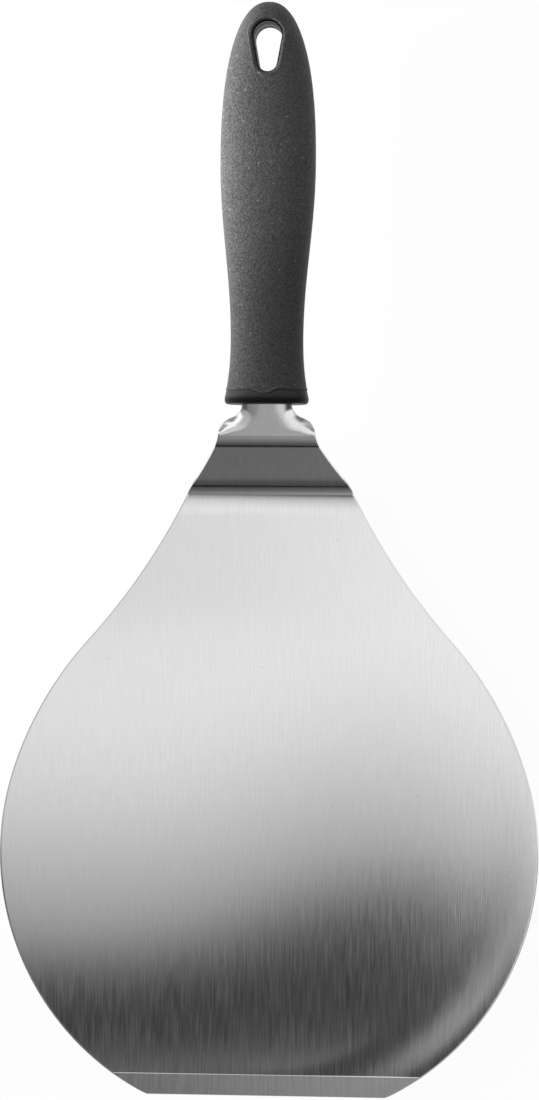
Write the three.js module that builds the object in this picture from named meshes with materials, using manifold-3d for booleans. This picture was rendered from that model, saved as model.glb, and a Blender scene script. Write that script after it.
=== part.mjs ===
// Cake lifter: a wide, cranked stainless-steel blade with a moulded two-material handle.
// Millimetres, +Z up. The blade lies on its underside at Z = 0, the origin is the centre of its disc
// on that underside, and +Y runs from the straight front edge to the tip of the handle.
//
// blade        one pressed sheet: disc, ground front lip, crank, neck with turned-down edges, tang
// handle_core  rigid moulding round the tang, bare at the collar and inside the hanging eye
// grip_skin    soft skin moulded over the core, with a rounded rim round the hanging eye
import * as THREE from 'three';
import { mergeVertices } from 'three/addons/utils/BufferGeometryUtils.js';
import Module from 'manifold-3d';

const wasm = await Module();
wasm.setup();

const { degToRad, smoothstep } = THREE.MathUtils;

// Blade sheet and its outline
const sheet = 1.0;                    // thickness
const edgeEase = 0.25;                // chamfer along the cut edges
const discRadius = 90;
const frontEdge = 80;                 // length of the straight front edge
const lipWidth = 6.8;                 // ground bevel behind the front edge
const lipEdge = 0.4;                  // thickness left at the front edge
const flankRadius = 117;              // convex arc that carries the disc on towards the neck
const flankStart = degToRad(73.65);   // where it leaves the disc, from the centre line
const neckRadius = 218;               // concave arc from the flank to the neck
const neckWidth = 32.2;               // across the shoulders, above the crank

// Crank, on the sheet's middle: two slight lead-ins, a crease, the lower bend and its easing, the slope
// and the upper bend, each with a radius and the slope at its end
const bendStart = 119.55;             // disc centre to the crease
const leadBend = 138;
const leadTurn = degToRad(2.9);
const nearBend = 79;
const nearTurn = degToRad(4.2);
const creaseBend = 1.3;
const creaseTurn = degToRad(8);
const lowerBend = 4.9;
const lowerTurn = degToRad(45);
const lowerEase = 12.5;
const crankAngle = degToRad(59.6);
const upperBend = 6.0;
const rise = 23.55;                   // flat pan to the end of the upper bend
const neckTilt = degToRad(8);         // the neck goes on rising to the handle
const settleRun = 6.0;                // length in the handle over which the tang turns to the handle's tilt
const tilt = degToRad(1.5);           // the handle rises away from the blade

// Neck and tang
const collarRun = 9.593;              // upper bend to the handle's front face
const shoulderBack = 10.7;             // handle's front face back to the start of the shoulder's round corner
const cornerRadius = 6.2;             // convex corner of the shoulder
const filletRadius = 5.0;             // concave corner where the shoulder meets the tang
const steepest = degToRad(72);        // limit of the slope between the two corners
const mouthTang = 16.3;               // tang width where it enters the handle
const tangWidth = 13;                 // tang width inside the handle
const tangTaper = 16;                 // length of the change between the two
const tangCorner = 4.5;
const tangToEye = 15;                 // tang end to the hanging eye
const flangeWidth = 6.6;              // strip along each edge that is turned down
const flangeTurn = degToRad(46);      // its slope at the edge
const flangePower = 3.0;              // how late the strip turns: 2 is a steady curve
const flangeStart = 0.7;             // start of the shoulder to the start of the turned strip
const flangeRun = 3.3;                // length over which it turns down
const flangeFade = 24;                // depth inside the handle where the tang is flat again
const anchorCount = 3;
const anchorRadius = 2.6;             // holes that the core is moulded through
const anchorFirst = 34;               // handle's front face to the first hole
const anchorMargin = 11;              // last hole to the tang's end

// Handle, measured from its front face
const handleLength = 131.9;
const mouthWidth = 28.4;
const waistWidth = 23.8;
const bellyWidth = 31.3;
const mouthDepth = 17.2;
const waistDepth = 16.0;
const bellyDepth = 19.0;
const waistAt = 21.2;
const bellyAt = 79;
const tipRun = 15;                    // length over which the depth closes at the tip
const mouthFlare = 2.2;               // how sharply the handle flares from the waist to the mouth
const mouthRound = 1.5;
const squareness = 2.3;               // exponent of the section: 2 is an ellipse
const widthPower = 2.4;               // fullness of the tip seen from above
const widthRoot = 0.443;
const skinWall = 2.0;
const clearance = 0.3;
const seamAt = 4.2;                   // front face to the front end of the skin
const tongueWidth = 10;               // tongue of the skin that dips over the collar, on top
const tongueDip = 1.5;

// Hanging eye: a wide round end towards the tip and a narrow one
const eyeWide = 4.6;
const eyeNarrow = 3.1;
const eyeLength = 17.2;
const eyeFromTip = 7.4;
const eyeRim = 1.3;
const eyeStep = 0.45;                 // the skin's edge stands back from the core's wall

// Facets: sides of round sections, and steps along each stretch
const laneCount = 5;                  // across each turned-down strip
const flatShare = 0.25;               // least share of the half width between the two strips
const edgeStep = 0.5;                 // along the edge that the strip is measured from
const probe = 0.02;                   // half the span over which the strip's slope is measured
const sectionSides = 32;              // round the handle
const eyeSides = 12;                  // round each end of the eye
const holeSides = 20;
const tipCrowding = 2.2;              // how closely the rings crowd towards the tip
const rimStart = degToRad(18);        // the eye's rim starts a little below the surface
const bladeSteps = { lip: 3, disc: 24, flank: 6, neck: 5, slope: 3, upperBend: 7, shoulder: 16 };
const lowerSteps = { lead: 3, near: 1, crease: 2, bend: 6, ease: 3 };
const tangSteps = { curl: 9, straight: 3, corner: 5 };
const handleSteps = { mouth: 4, waist: 4, belly: 6, tip: 11, rim: 5 };

// Even steps from one value to another, without the first
function spread(from, to, steps) {
  return Array.from({ length: steps }, (_, i) => from + ((to - from) * (i + 1)) / steps);
}

// Steps over the quarter turn of a corner, from its start to its end, without the first
function cornerSpread(from, to, steps) {
  return spread(0, Math.PI / 2, steps).map((angle) => from + (to - from) * Math.sin(angle));
}

// Closed skin through a row of rings with equal counts; a ring of one point closes an end
function loft(rings) {
  const points = [];
  const faces = [];
  const starts = rings.map((ring) => points.push(...ring) - ring.length);
  for (let r = 0; r + 1 < rings.length; r += 1) {
    const count = Math.max(rings[r].length, rings[r + 1].length);
    const at = (row, i) => starts[row] + (i % rings[row].length);
    for (let i = 0; i < count; i += 1) {
      if (rings[r].length > 1) faces.push(at(r, i), at(r, i + 1), at(r + 1, i));
      if (rings[r + 1].length > 1) faces.push(at(r, i + 1), at(r + 1, i + 1), at(r + 1, i));
    }
  }
  return { points, faces };
}

// Flat cap over a ring whose two halves mirror each other, as a strip between them
function stripCap(start, count, flip) {
  const faces = [];
  for (let i = 0; i + 1 < count / 2; i += 1) {
    const [a, b, c, d] = [i, i + 1, count - 2 - i, count - 1 - i].map((k) => start + k);
    faces.push(...(flip ? [a, c, b, a, d, c] : [a, b, c, a, c, d]));
  }
  return faces;
}

function toGeometry({ points, faces }) {
  const geometry = new THREE.BufferGeometry();
  geometry.setFromPoints(points);
  geometry.setIndex(faces);
  return geometry;
}

function toSolid(geometry) {
  const bare = geometry.clone();
  bare.deleteAttribute('normal');
  bare.deleteAttribute('uv');
  const merged = mergeVertices(bare);
  const vertProperties = Float32Array.from(merged.attributes.position.array);
  const triVerts = Uint32Array.from(merged.index.array);
  return new wasm.Manifold(new wasm.Mesh({ numProp: 3, vertProperties, triVerts }));
}

function fromSolid(solid) {
  const { vertProperties, triVerts } = solid.getMesh();
  const geometry = new THREE.BufferGeometry();
  geometry.setAttribute('position', new THREE.BufferAttribute(vertProperties, 3));
  geometry.setIndex(new THREE.BufferAttribute(triVerts, 1));
  geometry.computeVertexNormals();
  return geometry;
}

// Arcs that follow each other, from the slope before them
function arcsFrom(start, list) {
  let slope = start;
  return list.map(({ radius, to, steps }) => {
    const turn = to - slope;
    const climb = radius * Math.abs(Math.cos(slope) - Math.cos(to));
    slope = to;
    return { length: radius * Math.abs(turn), turn, climb, steps };
  });
}

const lowerArcs = arcsFrom(0, [
  { radius: leadBend, to: leadTurn, steps: lowerSteps.lead },
  { radius: nearBend, to: nearTurn, steps: lowerSteps.near },
  { radius: creaseBend, to: creaseTurn, steps: lowerSteps.crease },
  { radius: lowerBend, to: lowerTurn, steps: lowerSteps.bend },
  { radius: lowerEase, to: crankAngle, steps: lowerSteps.ease },
]);
const [upperArc] = arcsFrom(crankAngle, [{ radius: upperBend, to: neckTilt, steps: bladeSteps.upperBend }]);

// Centre line of the sheet, by length along it from the disc's centre
const [lead, near] = lowerArcs;
const arcClimb = [...lowerArcs, upperArc].reduce((sum, arc) => sum + arc.climb, 0);
const lowerRun = lowerArcs.reduce((sum, arc) => sum + arc.length, 0);
const slopeRun = (rise - arcClimb) / Math.sin(crankAngle);
const leadStart = bendStart - lead.length - near.length;
const lowerEnd = leadStart + lowerRun;
const upperStart = lowerEnd + slopeRun;
const upperEnd = upperStart + upperArc.length;
const bends = [
  { length: leadStart, turn: 0 },
  ...lowerArcs,
  { length: slopeRun, turn: 0 },
  upperArc,
  { length: collarRun, turn: 0 },
  { length: settleRun, turn: tilt - neckTilt },
  { length: Infinity, turn: 0 },
];

function centreLine(along) {
  let y = 0;
  let z = sheet / 2;
  let slope = 0;
  let left = along;
  for (const { length, turn } of bends) {
    const step = Math.min(left, length);
    if (turn === 0) {
      y += step * Math.cos(slope);
      z += step * Math.sin(slope);
    } else {
      const radius = length / turn;
      const next = slope + step / radius;
      y += radius * (Math.sin(next) - Math.sin(slope));
      z += radius * (Math.cos(slope) - Math.cos(next));
      slope = next;
    }
    left -= step;
    if (left <= 0) break;
  }
  return { y, z, slope };
}

// Outline of the sheet: disc, convex flank and concave neck, tangent to each other
const frontReach = Math.sqrt(discRadius ** 2 - (frontEdge / 2) ** 2);
const collarAt = upperEnd + collarRun;
const shoulderAt = collarAt - shoulderBack;
const shoulderPoint = new THREE.Vector2(neckWidth / 2, shoulderAt);
const flankCentre = new THREE.Vector2(Math.sin(flankStart), Math.cos(flankStart))
  .multiplyScalar(discRadius - flankRadius);
const neckCentre = circlesMeet(flankCentre, flankRadius + neckRadius, shoulderPoint, neckRadius);
const discEnd = discRadius * Math.cos(flankStart);
const flankEnd = flankCentre.y + ((neckCentre.y - flankCentre.y) * flankRadius) / (flankRadius + neckRadius);

// The point to the right of the line between two centres that lies at a distance from each
function circlesMeet(a, fromA, b, fromB) {
  const line = b.clone().sub(a);
  const span = line.length();
  const along = (span ** 2 + fromA ** 2 - fromB ** 2) / (2 * span);
  const aside = Math.sqrt(fromA ** 2 - along ** 2);
  line.divideScalar(span);
  return new THREE.Vector2(a.x + line.x * along + line.y * aside, a.y + line.y * along - line.x * aside);
}

// Shoulder: a round corner, a steep side and a fillet down to the tang
const shoulderDrop = (neckWidth - mouthTang) / 2;
const cornerSum = cornerRadius + filletRadius;
const sideSlope = Math.acos(Math.max(Math.cos(steepest), 1 - shoulderDrop / cornerSum));
const sideLength = (shoulderDrop - cornerSum * (1 - Math.cos(sideSlope))) / Math.sin(sideSlope);
const cornerEnd = cornerRadius * Math.sin(sideSlope);
const sideEnd = cornerEnd + sideLength * Math.cos(sideSlope);
const shoulderLength = sideEnd + filletRadius * Math.sin(sideSlope);

function shoulderHalf(run) {
  if (run < cornerEnd) return neckWidth / 2 - cornerRadius + Math.sqrt(cornerRadius ** 2 - run ** 2);
  if (run < sideEnd) {
    const corner = neckWidth / 2 - cornerRadius * (1 - Math.cos(sideSlope));
    return corner - (run - cornerEnd) * Math.tan(sideSlope);
  }
  return mouthTang / 2 + filletRadius - Math.sqrt(filletRadius ** 2 - (shoulderLength - run) ** 2);
}

const eyeNear = handleLength - eyeFromTip - eyeLength;
const tangEnd = collarAt + eyeNear - tangToEye;

// Half the sheet's width seen from above; grow widens the tang and its end for the core's pocket
function outlineHalf(along, grow) {
  if (along < discEnd) return Math.sqrt(discRadius ** 2 - along ** 2);
  if (along < flankEnd) return flankCentre.x + Math.sqrt(flankRadius ** 2 - (along - flankCentre.y) ** 2);
  if (along < shoulderAt) return neckCentre.x - Math.sqrt(neckRadius ** 2 - (along - neckCentre.y) ** 2);
  if (along < shoulderAt + shoulderLength) return shoulderHalf(along - shoulderAt) + grow;
  const narrowing = smoothstep(along, collarAt, collarAt + tangTaper);
  const tangHalf = mouthTang / 2 + ((tangWidth - mouthTang) / 2) * narrowing + grow;
  const past = Math.max(0, along - (tangEnd - tangCorner));
  const corner = tangCorner + grow;
  return tangHalf - corner + Math.sqrt(corner ** 2 - Math.min(past, corner) ** 2);
}

// Points along the edge of the neck, the shoulders and the start of the tang
const edgeSteps = Math.ceil((shoulderBack + flangeFade + 2 * flangeWidth) / edgeStep);
const edgePoints = Array.from({ length: edgeSteps + 1 }, (_, i) => {
  const along = shoulderAt - flangeWidth + i * edgeStep;
  return new THREE.Vector2(outlineHalf(along, 0), along);
});

function edgeDistance(across, along) {
  const point = new THREE.Vector2(Math.abs(across), along);
  const piece = new THREE.Vector2();
  let nearest = Infinity;
  for (let i = 0; i < edgeSteps; i += 1) {
    piece.subVectors(edgePoints[i + 1], edgePoints[i]);
    const offset = point.clone().sub(edgePoints[i]);
    const share = Math.min(1, Math.max(0, offset.dot(piece) / piece.lengthSq()));
    nearest = Math.min(nearest, offset.addScaledVector(piece, -share).length());
  }
  return nearest;
}

// How far the sheet is turned down at a point, by its distance from the neck's edge
function neckDrop(across, along) {
  const flangeAt = shoulderAt + flangeStart;
  const start = smoothstep(along, flangeAt, flangeAt + flangeRun);
  const fade = start * (1 - smoothstep(along, collarAt, collarAt + flangeFade));
  if (fade === 0) return 0;
  const outside = Math.abs(across) > outlineHalf(along, 0);
  const distance = edgeDistance(across, along) * (outside ? -1 : 1);
  const within = Math.max(0, flangeWidth - distance);
  const curved = Math.min(within, flangeWidth);
  const bent = (flangeWidth / flangePower) * (curved / flangeWidth) ** flangePower;
  return fade * (bent + within - curved) * Math.tan(flangeTurn);
}

// One section of the sheet: the top from left to right, the right edge, the bottom back, the left edge
function sheetRing(along, grow) {
  const { y, z, slope } = centreLine(along);
  const half = outlineHalf(along, grow);
  const flat = Math.max(half - flangeWidth, half * flatShare);
  const ground = (sheet - lipEdge) * Math.max(0, 1 - (along + frontReach) / lipWidth);
  const top = sheet / 2 - ground + grow;
  const bottom = -sheet / 2 - grow;
  const ease = Math.min(edgeEase, (top - bottom) / 3);
  const ahead = new THREE.Vector3(0, Math.cos(slope), Math.sin(slope));
  const upward = new THREE.Vector3(0, -Math.sin(slope), Math.cos(slope));

  // Heights are measured square to the turned-down sheet
  function place(across, height) {
    const leanX = (neckDrop(across + probe, along) - neckDrop(across - probe, along)) / (2 * probe);
    const leanY = (neckDrop(across, along + probe) - neckDrop(across, along - probe)) / (2 * probe);
    const normal = new THREE.Vector3(leanX, leanY, 1).normalize().multiplyScalar(height);
    return new THREE.Vector3(across + normal.x, y, z)
      .addScaledVector(ahead, normal.y)
      .addScaledVector(upward, normal.z - neckDrop(across, along));
  }

  const lanes = [flat, ...spread(flat, half - ease, laneCount)];
  const across = [...lanes.map((lane) => -lane).reverse(), ...lanes];
  return [
    place(-half, top - ease),
    ...across.map((lane) => place(lane, top)),
    place(half, top - ease),
    place(half, bottom + ease),
    ...across.toReversed().map((lane) => place(lane, bottom)),
    place(-half, bottom + ease),
  ];
}

function sheetGeometry(stations, grow) {
  const rings = stations.map((along) => sheetRing(along, grow));
  const count = rings[0].length;
  const skin = loft(rings);
  skin.faces.push(...stripCap(0, count, true));
  skin.faces.push(...stripCap(skin.points.length - count, count, false));
  return toGeometry(skin);
}

// Stations along the tang, shared by the blade and by the pocket for it
function tangStations(grow) {
  const cornerStart = tangEnd - tangCorner;
  return [
    ...spread(collarAt, collarAt + flangeFade, tangSteps.curl),
    ...spread(collarAt + flangeFade, cornerStart, tangSteps.straight),
    ...cornerSpread(cornerStart, tangEnd + grow, tangSteps.corner),
  ];
}

function lowerStations() {
  let end = leadStart;
  return lowerArcs.flatMap(({ length, steps }) => {
    const start = end;
    end += length;
    return spread(start, end, steps);
  });
}

function bladeStations() {
  const front = Math.asin(-frontReach / discRadius);
  const lipEnd = lipWidth - frontReach;
  const lipAngle = Math.asin(lipEnd / discRadius);
  const discTurn = Math.asin(discEnd / discRadius);
  return [
    -frontReach,
    ...spread(front, lipAngle, bladeSteps.lip).map((angle) => discRadius * Math.sin(angle)),
    ...spread(lipAngle, discTurn, bladeSteps.disc).map((angle) => discRadius * Math.sin(angle)),
    ...spread(discEnd, flankEnd, bladeSteps.flank),
    ...spread(flankEnd, leadStart, bladeSteps.neck),
    ...lowerStations(),
    ...spread(lowerEnd, upperStart, bladeSteps.slope),
    ...spread(upperStart, upperEnd, upperArc.steps),
    ...spread(upperEnd, collarAt, bladeSteps.shoulder),
    ...tangStations(0),
  ];
}

// Handle: half width and half depth by distance from the front face, drawn in by an inset
function halfWidth(v, inset) {
  const belly = bellyWidth / 2 - inset;
  const waist = waistWidth / 2 - inset;
  const mouth = mouthWidth / 2 - inset;
  if (v < waistAt) return waist + (mouth - waist) * (1 - v / waistAt) ** mouthFlare;
  if (v < bellyAt) return waist + (belly - waist) * easeInOut((v - waistAt) / (bellyAt - waistAt));
  const toTip = (v - bellyAt) / (handleLength - inset - bellyAt);
  return belly * (1 - Math.min(toTip, 1) ** widthPower) ** widthRoot;
}

function halfDepth(v, inset) {
  const belly = bellyDepth / 2 - inset;
  const waist = waistDepth / 2 - inset;
  const mouth = mouthDepth / 2 - inset;
  const closing = handleLength - tipRun;
  if (v < waistAt) return waist + (mouth - waist) * (1 - v / waistAt) ** mouthFlare;
  if (v < bellyAt) return waist + (belly - waist) * easeInOut((v - waistAt) / (bellyAt - waistAt));
  const toTip = Math.max(0, (v - closing) / (tipRun - inset));
  return belly * Math.sqrt(1 - Math.min(toTip, 1) ** 2);
}

function easeInOut(part) {
  return (1 - Math.cos(Math.PI * part)) / 2;
}

// Height of the handle's top surface above its axis
function topSurface(x, v) {
  const share = Math.min(1, Math.abs(x) / halfWidth(v, 0));
  return halfDepth(v, 0) * (1 - share ** squareness) ** (1 / squareness);
}

function rounded(value) {
  return Math.sign(value) * Math.abs(value) ** (2 / squareness);
}

// Section of the handle; station gives the distance from the front face for each point
function handleRing(station, inset) {
  return Array.from({ length: sectionSides }, (_, i) => {
    const angle = (-2 * Math.PI * i) / sectionSides;
    const v = station(angle);
    const x = halfWidth(v, inset) * rounded(Math.cos(angle));
    const z = halfDepth(v, inset) * rounded(Math.sin(angle));
    return new THREE.Vector3(x, v, z);
  });
}

// Front end of the skin, with the tongue that dips over the collar on the top face
function seamStation(shift) {
  return (angle) => {
    const x = (mouthWidth / 2) * rounded(Math.cos(angle));
    const share = Math.min(1, Math.abs(x) / (tongueWidth / 2));
    const dip = Math.sin(angle) > 0 ? tongueDip * Math.cos((Math.PI / 2) * share) ** 2 : 0;
    return seamAt + shift - dip;
  };
}

// Rings from behind the seam to the closed tip of the handle
function bodyRings(inset) {
  const tip = handleLength - inset;
  const tipShares = spread(1, 0, handleSteps.tip).slice(0, -1).map((part) => part ** tipCrowding);
  const stations = [
    ...spread(seamAt, waistAt, handleSteps.waist),
    ...spread(waistAt, bellyAt, handleSteps.belly),
    ...tipShares.map((share) => tip - (tip - bellyAt) * share),
  ];
  return [...stations.map((v) => handleRing(() => v, inset)), [new THREE.Vector3(0, tip, 0)]];
}

function coreGeometry() {
  const inset = skinWall + clearance;
  const mouthRings = spread(0, Math.PI / 2, handleSteps.mouth).map((angle) => {
    const drawnIn = mouthRound * (1 - Math.sin(angle));
    const v = mouthRound * (1 - Math.cos(angle));
    return handleRing(() => v, drawnIn);
  });
  const rings = [
    [new THREE.Vector3()],
    handleRing(() => 0, mouthRound),
    ...mouthRings,
    handleRing(seamStation(0), 0),
    handleRing(seamStation(0), inset),
    ...bodyRings(inset),
  ];
  return toGeometry(loft(rings));
}

function skinGeometry() {
  const rings = [
    ...bodyRings(skinWall).reverse(),
    handleRing(seamStation(clearance), skinWall),
    handleRing(seamStation(clearance), 0),
    ...bodyRings(0),
  ];
  return toGeometry(loft(rings));
}

// Outline of the eye, widened by an offset: two round ends and the straight sides that join them
function eyeOutline(offset) {
  const wideAt = handleLength - eyeFromTip - eyeWide;
  const narrowAt = eyeNear + eyeNarrow;
  const lean = Math.asin((eyeWide - eyeNarrow) / (wideAt - narrowAt));
  const arc = (centre, radius, from, to) =>
    [from, ...spread(from, to, eyeSides)].map((angle) => new THREE.Vector2(
      (radius + offset) * Math.cos(angle),
      centre + (radius + offset) * Math.sin(angle),
    ));
  return [
    ...arc(wideAt, eyeWide, -lean, Math.PI + lean),
    ...arc(narrowAt, eyeNarrow, Math.PI + lean, 2 * Math.PI - lean),
  ];
}

// Cutter for the eye, widened by a step: straight in the middle, flared into a rim at both faces
function eyeCutter(rim, step) {
  const clear = bellyDepth;
  const flares = rim > 0 ? [rimStart, ...spread(rimStart, Math.PI / 2, handleSteps.rim)] : [];
  const topRings = flares.map((angle) =>
    eyeOutline(step + rim * (1 - Math.sin(angle))).map(({ x, y }) =>
      new THREE.Vector3(x, y, topSurface(x, y) - rim * (1 - Math.cos(angle)))));
  const mouth = topRings[0] ?? eyeOutline(step);
  const above = mouth.map(({ x, y }) => new THREE.Vector3(x, y, clear));
  const centre = new THREE.Vector3(0, handleLength - eyeFromTip - eyeLength / 2, clear);
  const upper = [...topRings.reverse(), above, [centre]];
  const lower = upper.map((ring) => ring.map(({ x, y, z }) => new THREE.Vector3(x, y, -z))).reverse();
  return toSolid(toGeometry(loft([...lower, ...upper])));
}

// Round pin along the handle's Z, for the anchor holes and the plugs that fill them
function anchorPins(radius) {
  const last = tangEnd - collarAt - anchorMargin;
  const places = Array.from({ length: anchorCount }, (_, i) =>
    anchorFirst + ((last - anchorFirst) * i) / (anchorCount - 1));
  return places.map((v) => {
    const pin = new THREE.CylinderGeometry(radius, radius, waistDepth, holeSides);
    pin.rotateX(Math.PI / 2);
    pin.translate(0, v, 0);
    return pin;
  });
}

const mouthCentre = centreLine(collarAt);
const handle = new THREE.Group();
handle.position.set(0, mouthCentre.y, mouthCentre.z);
handle.rotation.x = tilt;
handle.updateMatrixWorld();
const toHandle = handle.matrixWorld.clone().invert();

function buildBlade() {
  let blade = toSolid(sheetGeometry(bladeStations(), 0));
  for (const pin of anchorPins(anchorRadius)) {
    blade = blade.subtract(toSolid(pin.applyMatrix4(handle.matrixWorld)));
  }
  return fromSolid(blade);
}

function buildCore() {
  const pocketStart = collarAt - clearance;
  const pocketSheet = sheetGeometry([pocketStart, collarAt, ...tangStations(clearance)], clearance);
  let pocket = toSolid(pocketSheet.applyMatrix4(toHandle));
  for (const pin of anchorPins(anchorRadius - clearance)) {
    pocket = pocket.subtract(toSolid(pin));
  }
  return fromSolid(toSolid(coreGeometry()).subtract(pocket).subtract(eyeCutter(0, 0)));
}

function buildSkin() {
  return fromSolid(toSolid(skinGeometry()).subtract(eyeCutter(eyeRim, eyeStep)));
}

function addMesh(parent, name, geometry, finish) {
  const mesh = new THREE.Mesh(geometry, new THREE.MeshStandardMaterial(finish));
  mesh.name = name;
  parent.add(mesh);
}

const cakeLifter = new THREE.Group();
cakeLifter.add(handle);
addMesh(cakeLifter, 'blade', buildBlade(), { color: 0xc4c6c8, roughness: 0.32, metalness: 1 });
addMesh(handle, 'handle_core', buildCore(), { color: 0x2c2d2f, roughness: 0.45, metalness: 0 });
addMesh(handle, 'grip_skin', buildSkin(), { color: 0x45474a, roughness: 0.75, metalness: 0 });

export default cakeLifter;
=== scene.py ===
import math

import bmesh
import bpy
import numpy as np
from mathutils import Matrix, Vector


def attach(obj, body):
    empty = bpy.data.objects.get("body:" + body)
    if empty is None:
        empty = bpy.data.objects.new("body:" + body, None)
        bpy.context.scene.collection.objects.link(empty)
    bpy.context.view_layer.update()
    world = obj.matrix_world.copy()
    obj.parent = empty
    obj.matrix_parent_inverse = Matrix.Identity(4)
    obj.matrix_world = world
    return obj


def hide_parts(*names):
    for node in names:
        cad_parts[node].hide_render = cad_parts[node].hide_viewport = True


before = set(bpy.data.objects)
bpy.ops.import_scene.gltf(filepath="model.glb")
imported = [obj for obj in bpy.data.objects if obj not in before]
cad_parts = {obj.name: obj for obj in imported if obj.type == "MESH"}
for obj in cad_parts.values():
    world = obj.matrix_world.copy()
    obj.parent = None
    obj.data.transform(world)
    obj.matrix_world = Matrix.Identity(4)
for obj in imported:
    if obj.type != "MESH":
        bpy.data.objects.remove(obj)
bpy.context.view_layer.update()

MM = 0.001

# Blade sheet and its outline
SHEET = 1.0                         # thickness
EDGE_EASE = 0.3                     # round along the cut edges
EASE_SHARE = 0.4                    # most of the thickness that this round takes
DISC_RADIUS = 90.0
FRONT_EDGE = 80.0                   # length of the straight front edge
FRONT_CORNER = 1.2                  # round at its ends
LIP_WIDTH = 6.8                     # ground bevel behind the front edge
LIP_EDGE = 0.4                      # thickness left at the front edge
LIP_NOSE = 0.14                     # round of the front edge itself
LIP_BURR = 0.012                    # height of the burr along the bevel's upper edge
LIP_BURR_WIDTH = 0.22
LIFT = 0.42                         # most that the pressed rim rises
LIFT_RUN = 19.0                     # width of the strip that rises
LIFT_TOWARDS = math.radians(-45)    # where it rises most, from +X
FLANK_RADIUS = 117.0                # convex arc that carries the disc on towards the neck
FLANK_START = math.radians(73.65)   # where it leaves the disc, from the centre line
NECK_RADIUS = 218.0                 # concave arc from the flank to the neck
NECK_WIDTH = 32.2                   # across the shoulders, above the crank

# Crank: two slight lead-ins, a crease, the lower bend and its easing, the slope, then a crease,
# an easing and the upper bend. Each has its radius, and then the slope at its end.
BEND_START = 119.55                 # disc centre to the lower crease
LEAD_BEND = 138.0
LEAD_TURN = math.radians(2.9)
NEAR_BEND = 79.0
NEAR_TURN = math.radians(4.2)
CREASE_BEND = 1.3
CREASE_TURN = math.radians(8)
LOWER_BEND = 4.9
LOWER_TURN = math.radians(45)
LOWER_EASE = 12.5
CRANK = math.radians(59.6)
UPPER_CREASE = 2.5
UPPER_KNEE = math.radians(48)
UPPER_EASE = 17.0
UPPER_TURN = math.radians(42.5)
UPPER_BEND = 3.8
NECK_TILT = math.radians(8)         # the neck goes on rising to the handle
RISE = 23.459                       # flat pan to the end of the upper bend
SETTLE_RUN = 6.0                    # length in the handle over which the tang turns to its tilt
TILT = math.radians(1.5)            # the handle rises away from the blade

# Neck and tang
COLLAR_RUN = 10.283                 # upper bend to the handle's front face
SHOULDER_BACK = 10.7                # that face back to the start of the shoulder's round corner
CORNER_RADIUS = 6.2                 # convex corner of the shoulder
FILLET_RADIUS = 5.0                 # concave corner where the shoulder meets the tang
STEEPEST = math.radians(72)         # limit of the slope between the two corners
MOUTH_TANG = 16.3                   # tang width where it enters the handle
TANG_WIDTH = 13.0                   # tang width inside the handle
TANG_TAPER = 16.0                   # length of the change between the two
TANG_CORNER = 4.5
TANG_TO_EYE = 15.7                  # tang end to the hanging eye
FLANGE_WIDTH = 6.6                  # strip along each edge that is turned down
STRIP_SHARE = 0.6                   # most of the half width that this strip takes
FLANGE_TURN = math.radians(46)      # its slope at the edge
FLANGE_START = 0.7                  # start of the shoulder to the start of the turned strip
FLANGE_RUN = 3.3                    # length over which it turns down
FLANGE_POWER = 3.0                  # how late the strip turns: 2 is a steady curve
FLANGE_FADE = 24.0                  # depth inside the handle where the tang is flat again
FLANGE_EASE = 0.3                   # share of the turn that is lost at the collar
EASE_RUN = 4.5                      # length in front of the collar over which it is lost
ANCHOR_COUNT = 3
ANCHOR_RADIUS = 2.6                 # holes that the core is moulded through
ANCHOR_FIRST = 34.0                 # handle's front face to the first hole
ANCHOR_MARGIN = 11.0                # last hole to the tang's end

# Handle, measured from its front face
HANDLE_LENGTH = 131.9
MOUTH_WIDTH = 28.4
WAIST_WIDTH = 23.8
BELLY_WIDTH = 31.3
MOUTH_DEPTH = 17.2
WAIST_DEPTH = 16.0
BELLY_DEPTH = 19.0
WAIST_AT = 21.2
BELLY_AT = 79.0
TIP_RUN = 15.0                      # length over which the depth closes at the tip
MOUTH_FLARE = 2.2                   # how sharply the handle flares from the waist to the mouth
MOUTH_ROUND = 1.5                   # round of the collar's front edge, inwards
MOUTH_RUN = 2.2                     # the same round's length along the handle
SQUARENESS = 2.3                    # exponent of the section: 2 is an ellipse
WIDTH_POWER = 2.4                   # fullness of the tip seen from above
WIDTH_ROOT = 0.443
SKIN_WALL = 2.0
CLEARANCE = 0.3
COLLAR_BACK = 1.2                   # collar's last full section to the seam
CORE_START = 0.5                    # seam to the first section of the core under the skin
SEAM_AT = 4.2                       # front face to the front end of the skin
SEAM_GAP = 0.06
SEAM_ROUND = 0.22
SEAM_BEAD = 0.2                     # height of the bead behind the seam
BEAD_WIDTH = 0.9
TONGUE_WIDTH = 10.0                 # tongue of the skin that dips over the collar, on top
TONGUE_DIP = 1.5

# Hanging eye
EYE_WIDE = 4.6
EYE_NARROW = 3.1
EYE_LENGTH = 16.5
EYE_FROM_TIP = 7.4
EYE_RIM = 1.0                       # round of the skin's edge
EYE_STEP = 0.5                      # the skin's edge stands back from the core's wall
EYE_GROOVE = 0.3                    # depth of the groove in the core's wall
GROOVE_AT = 3.6                     # its height above and below the handle's middle
GROOVE_HALF = 0.8
RIM_START = math.radians(14)        # the eye's rim starts a little below the surface

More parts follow.
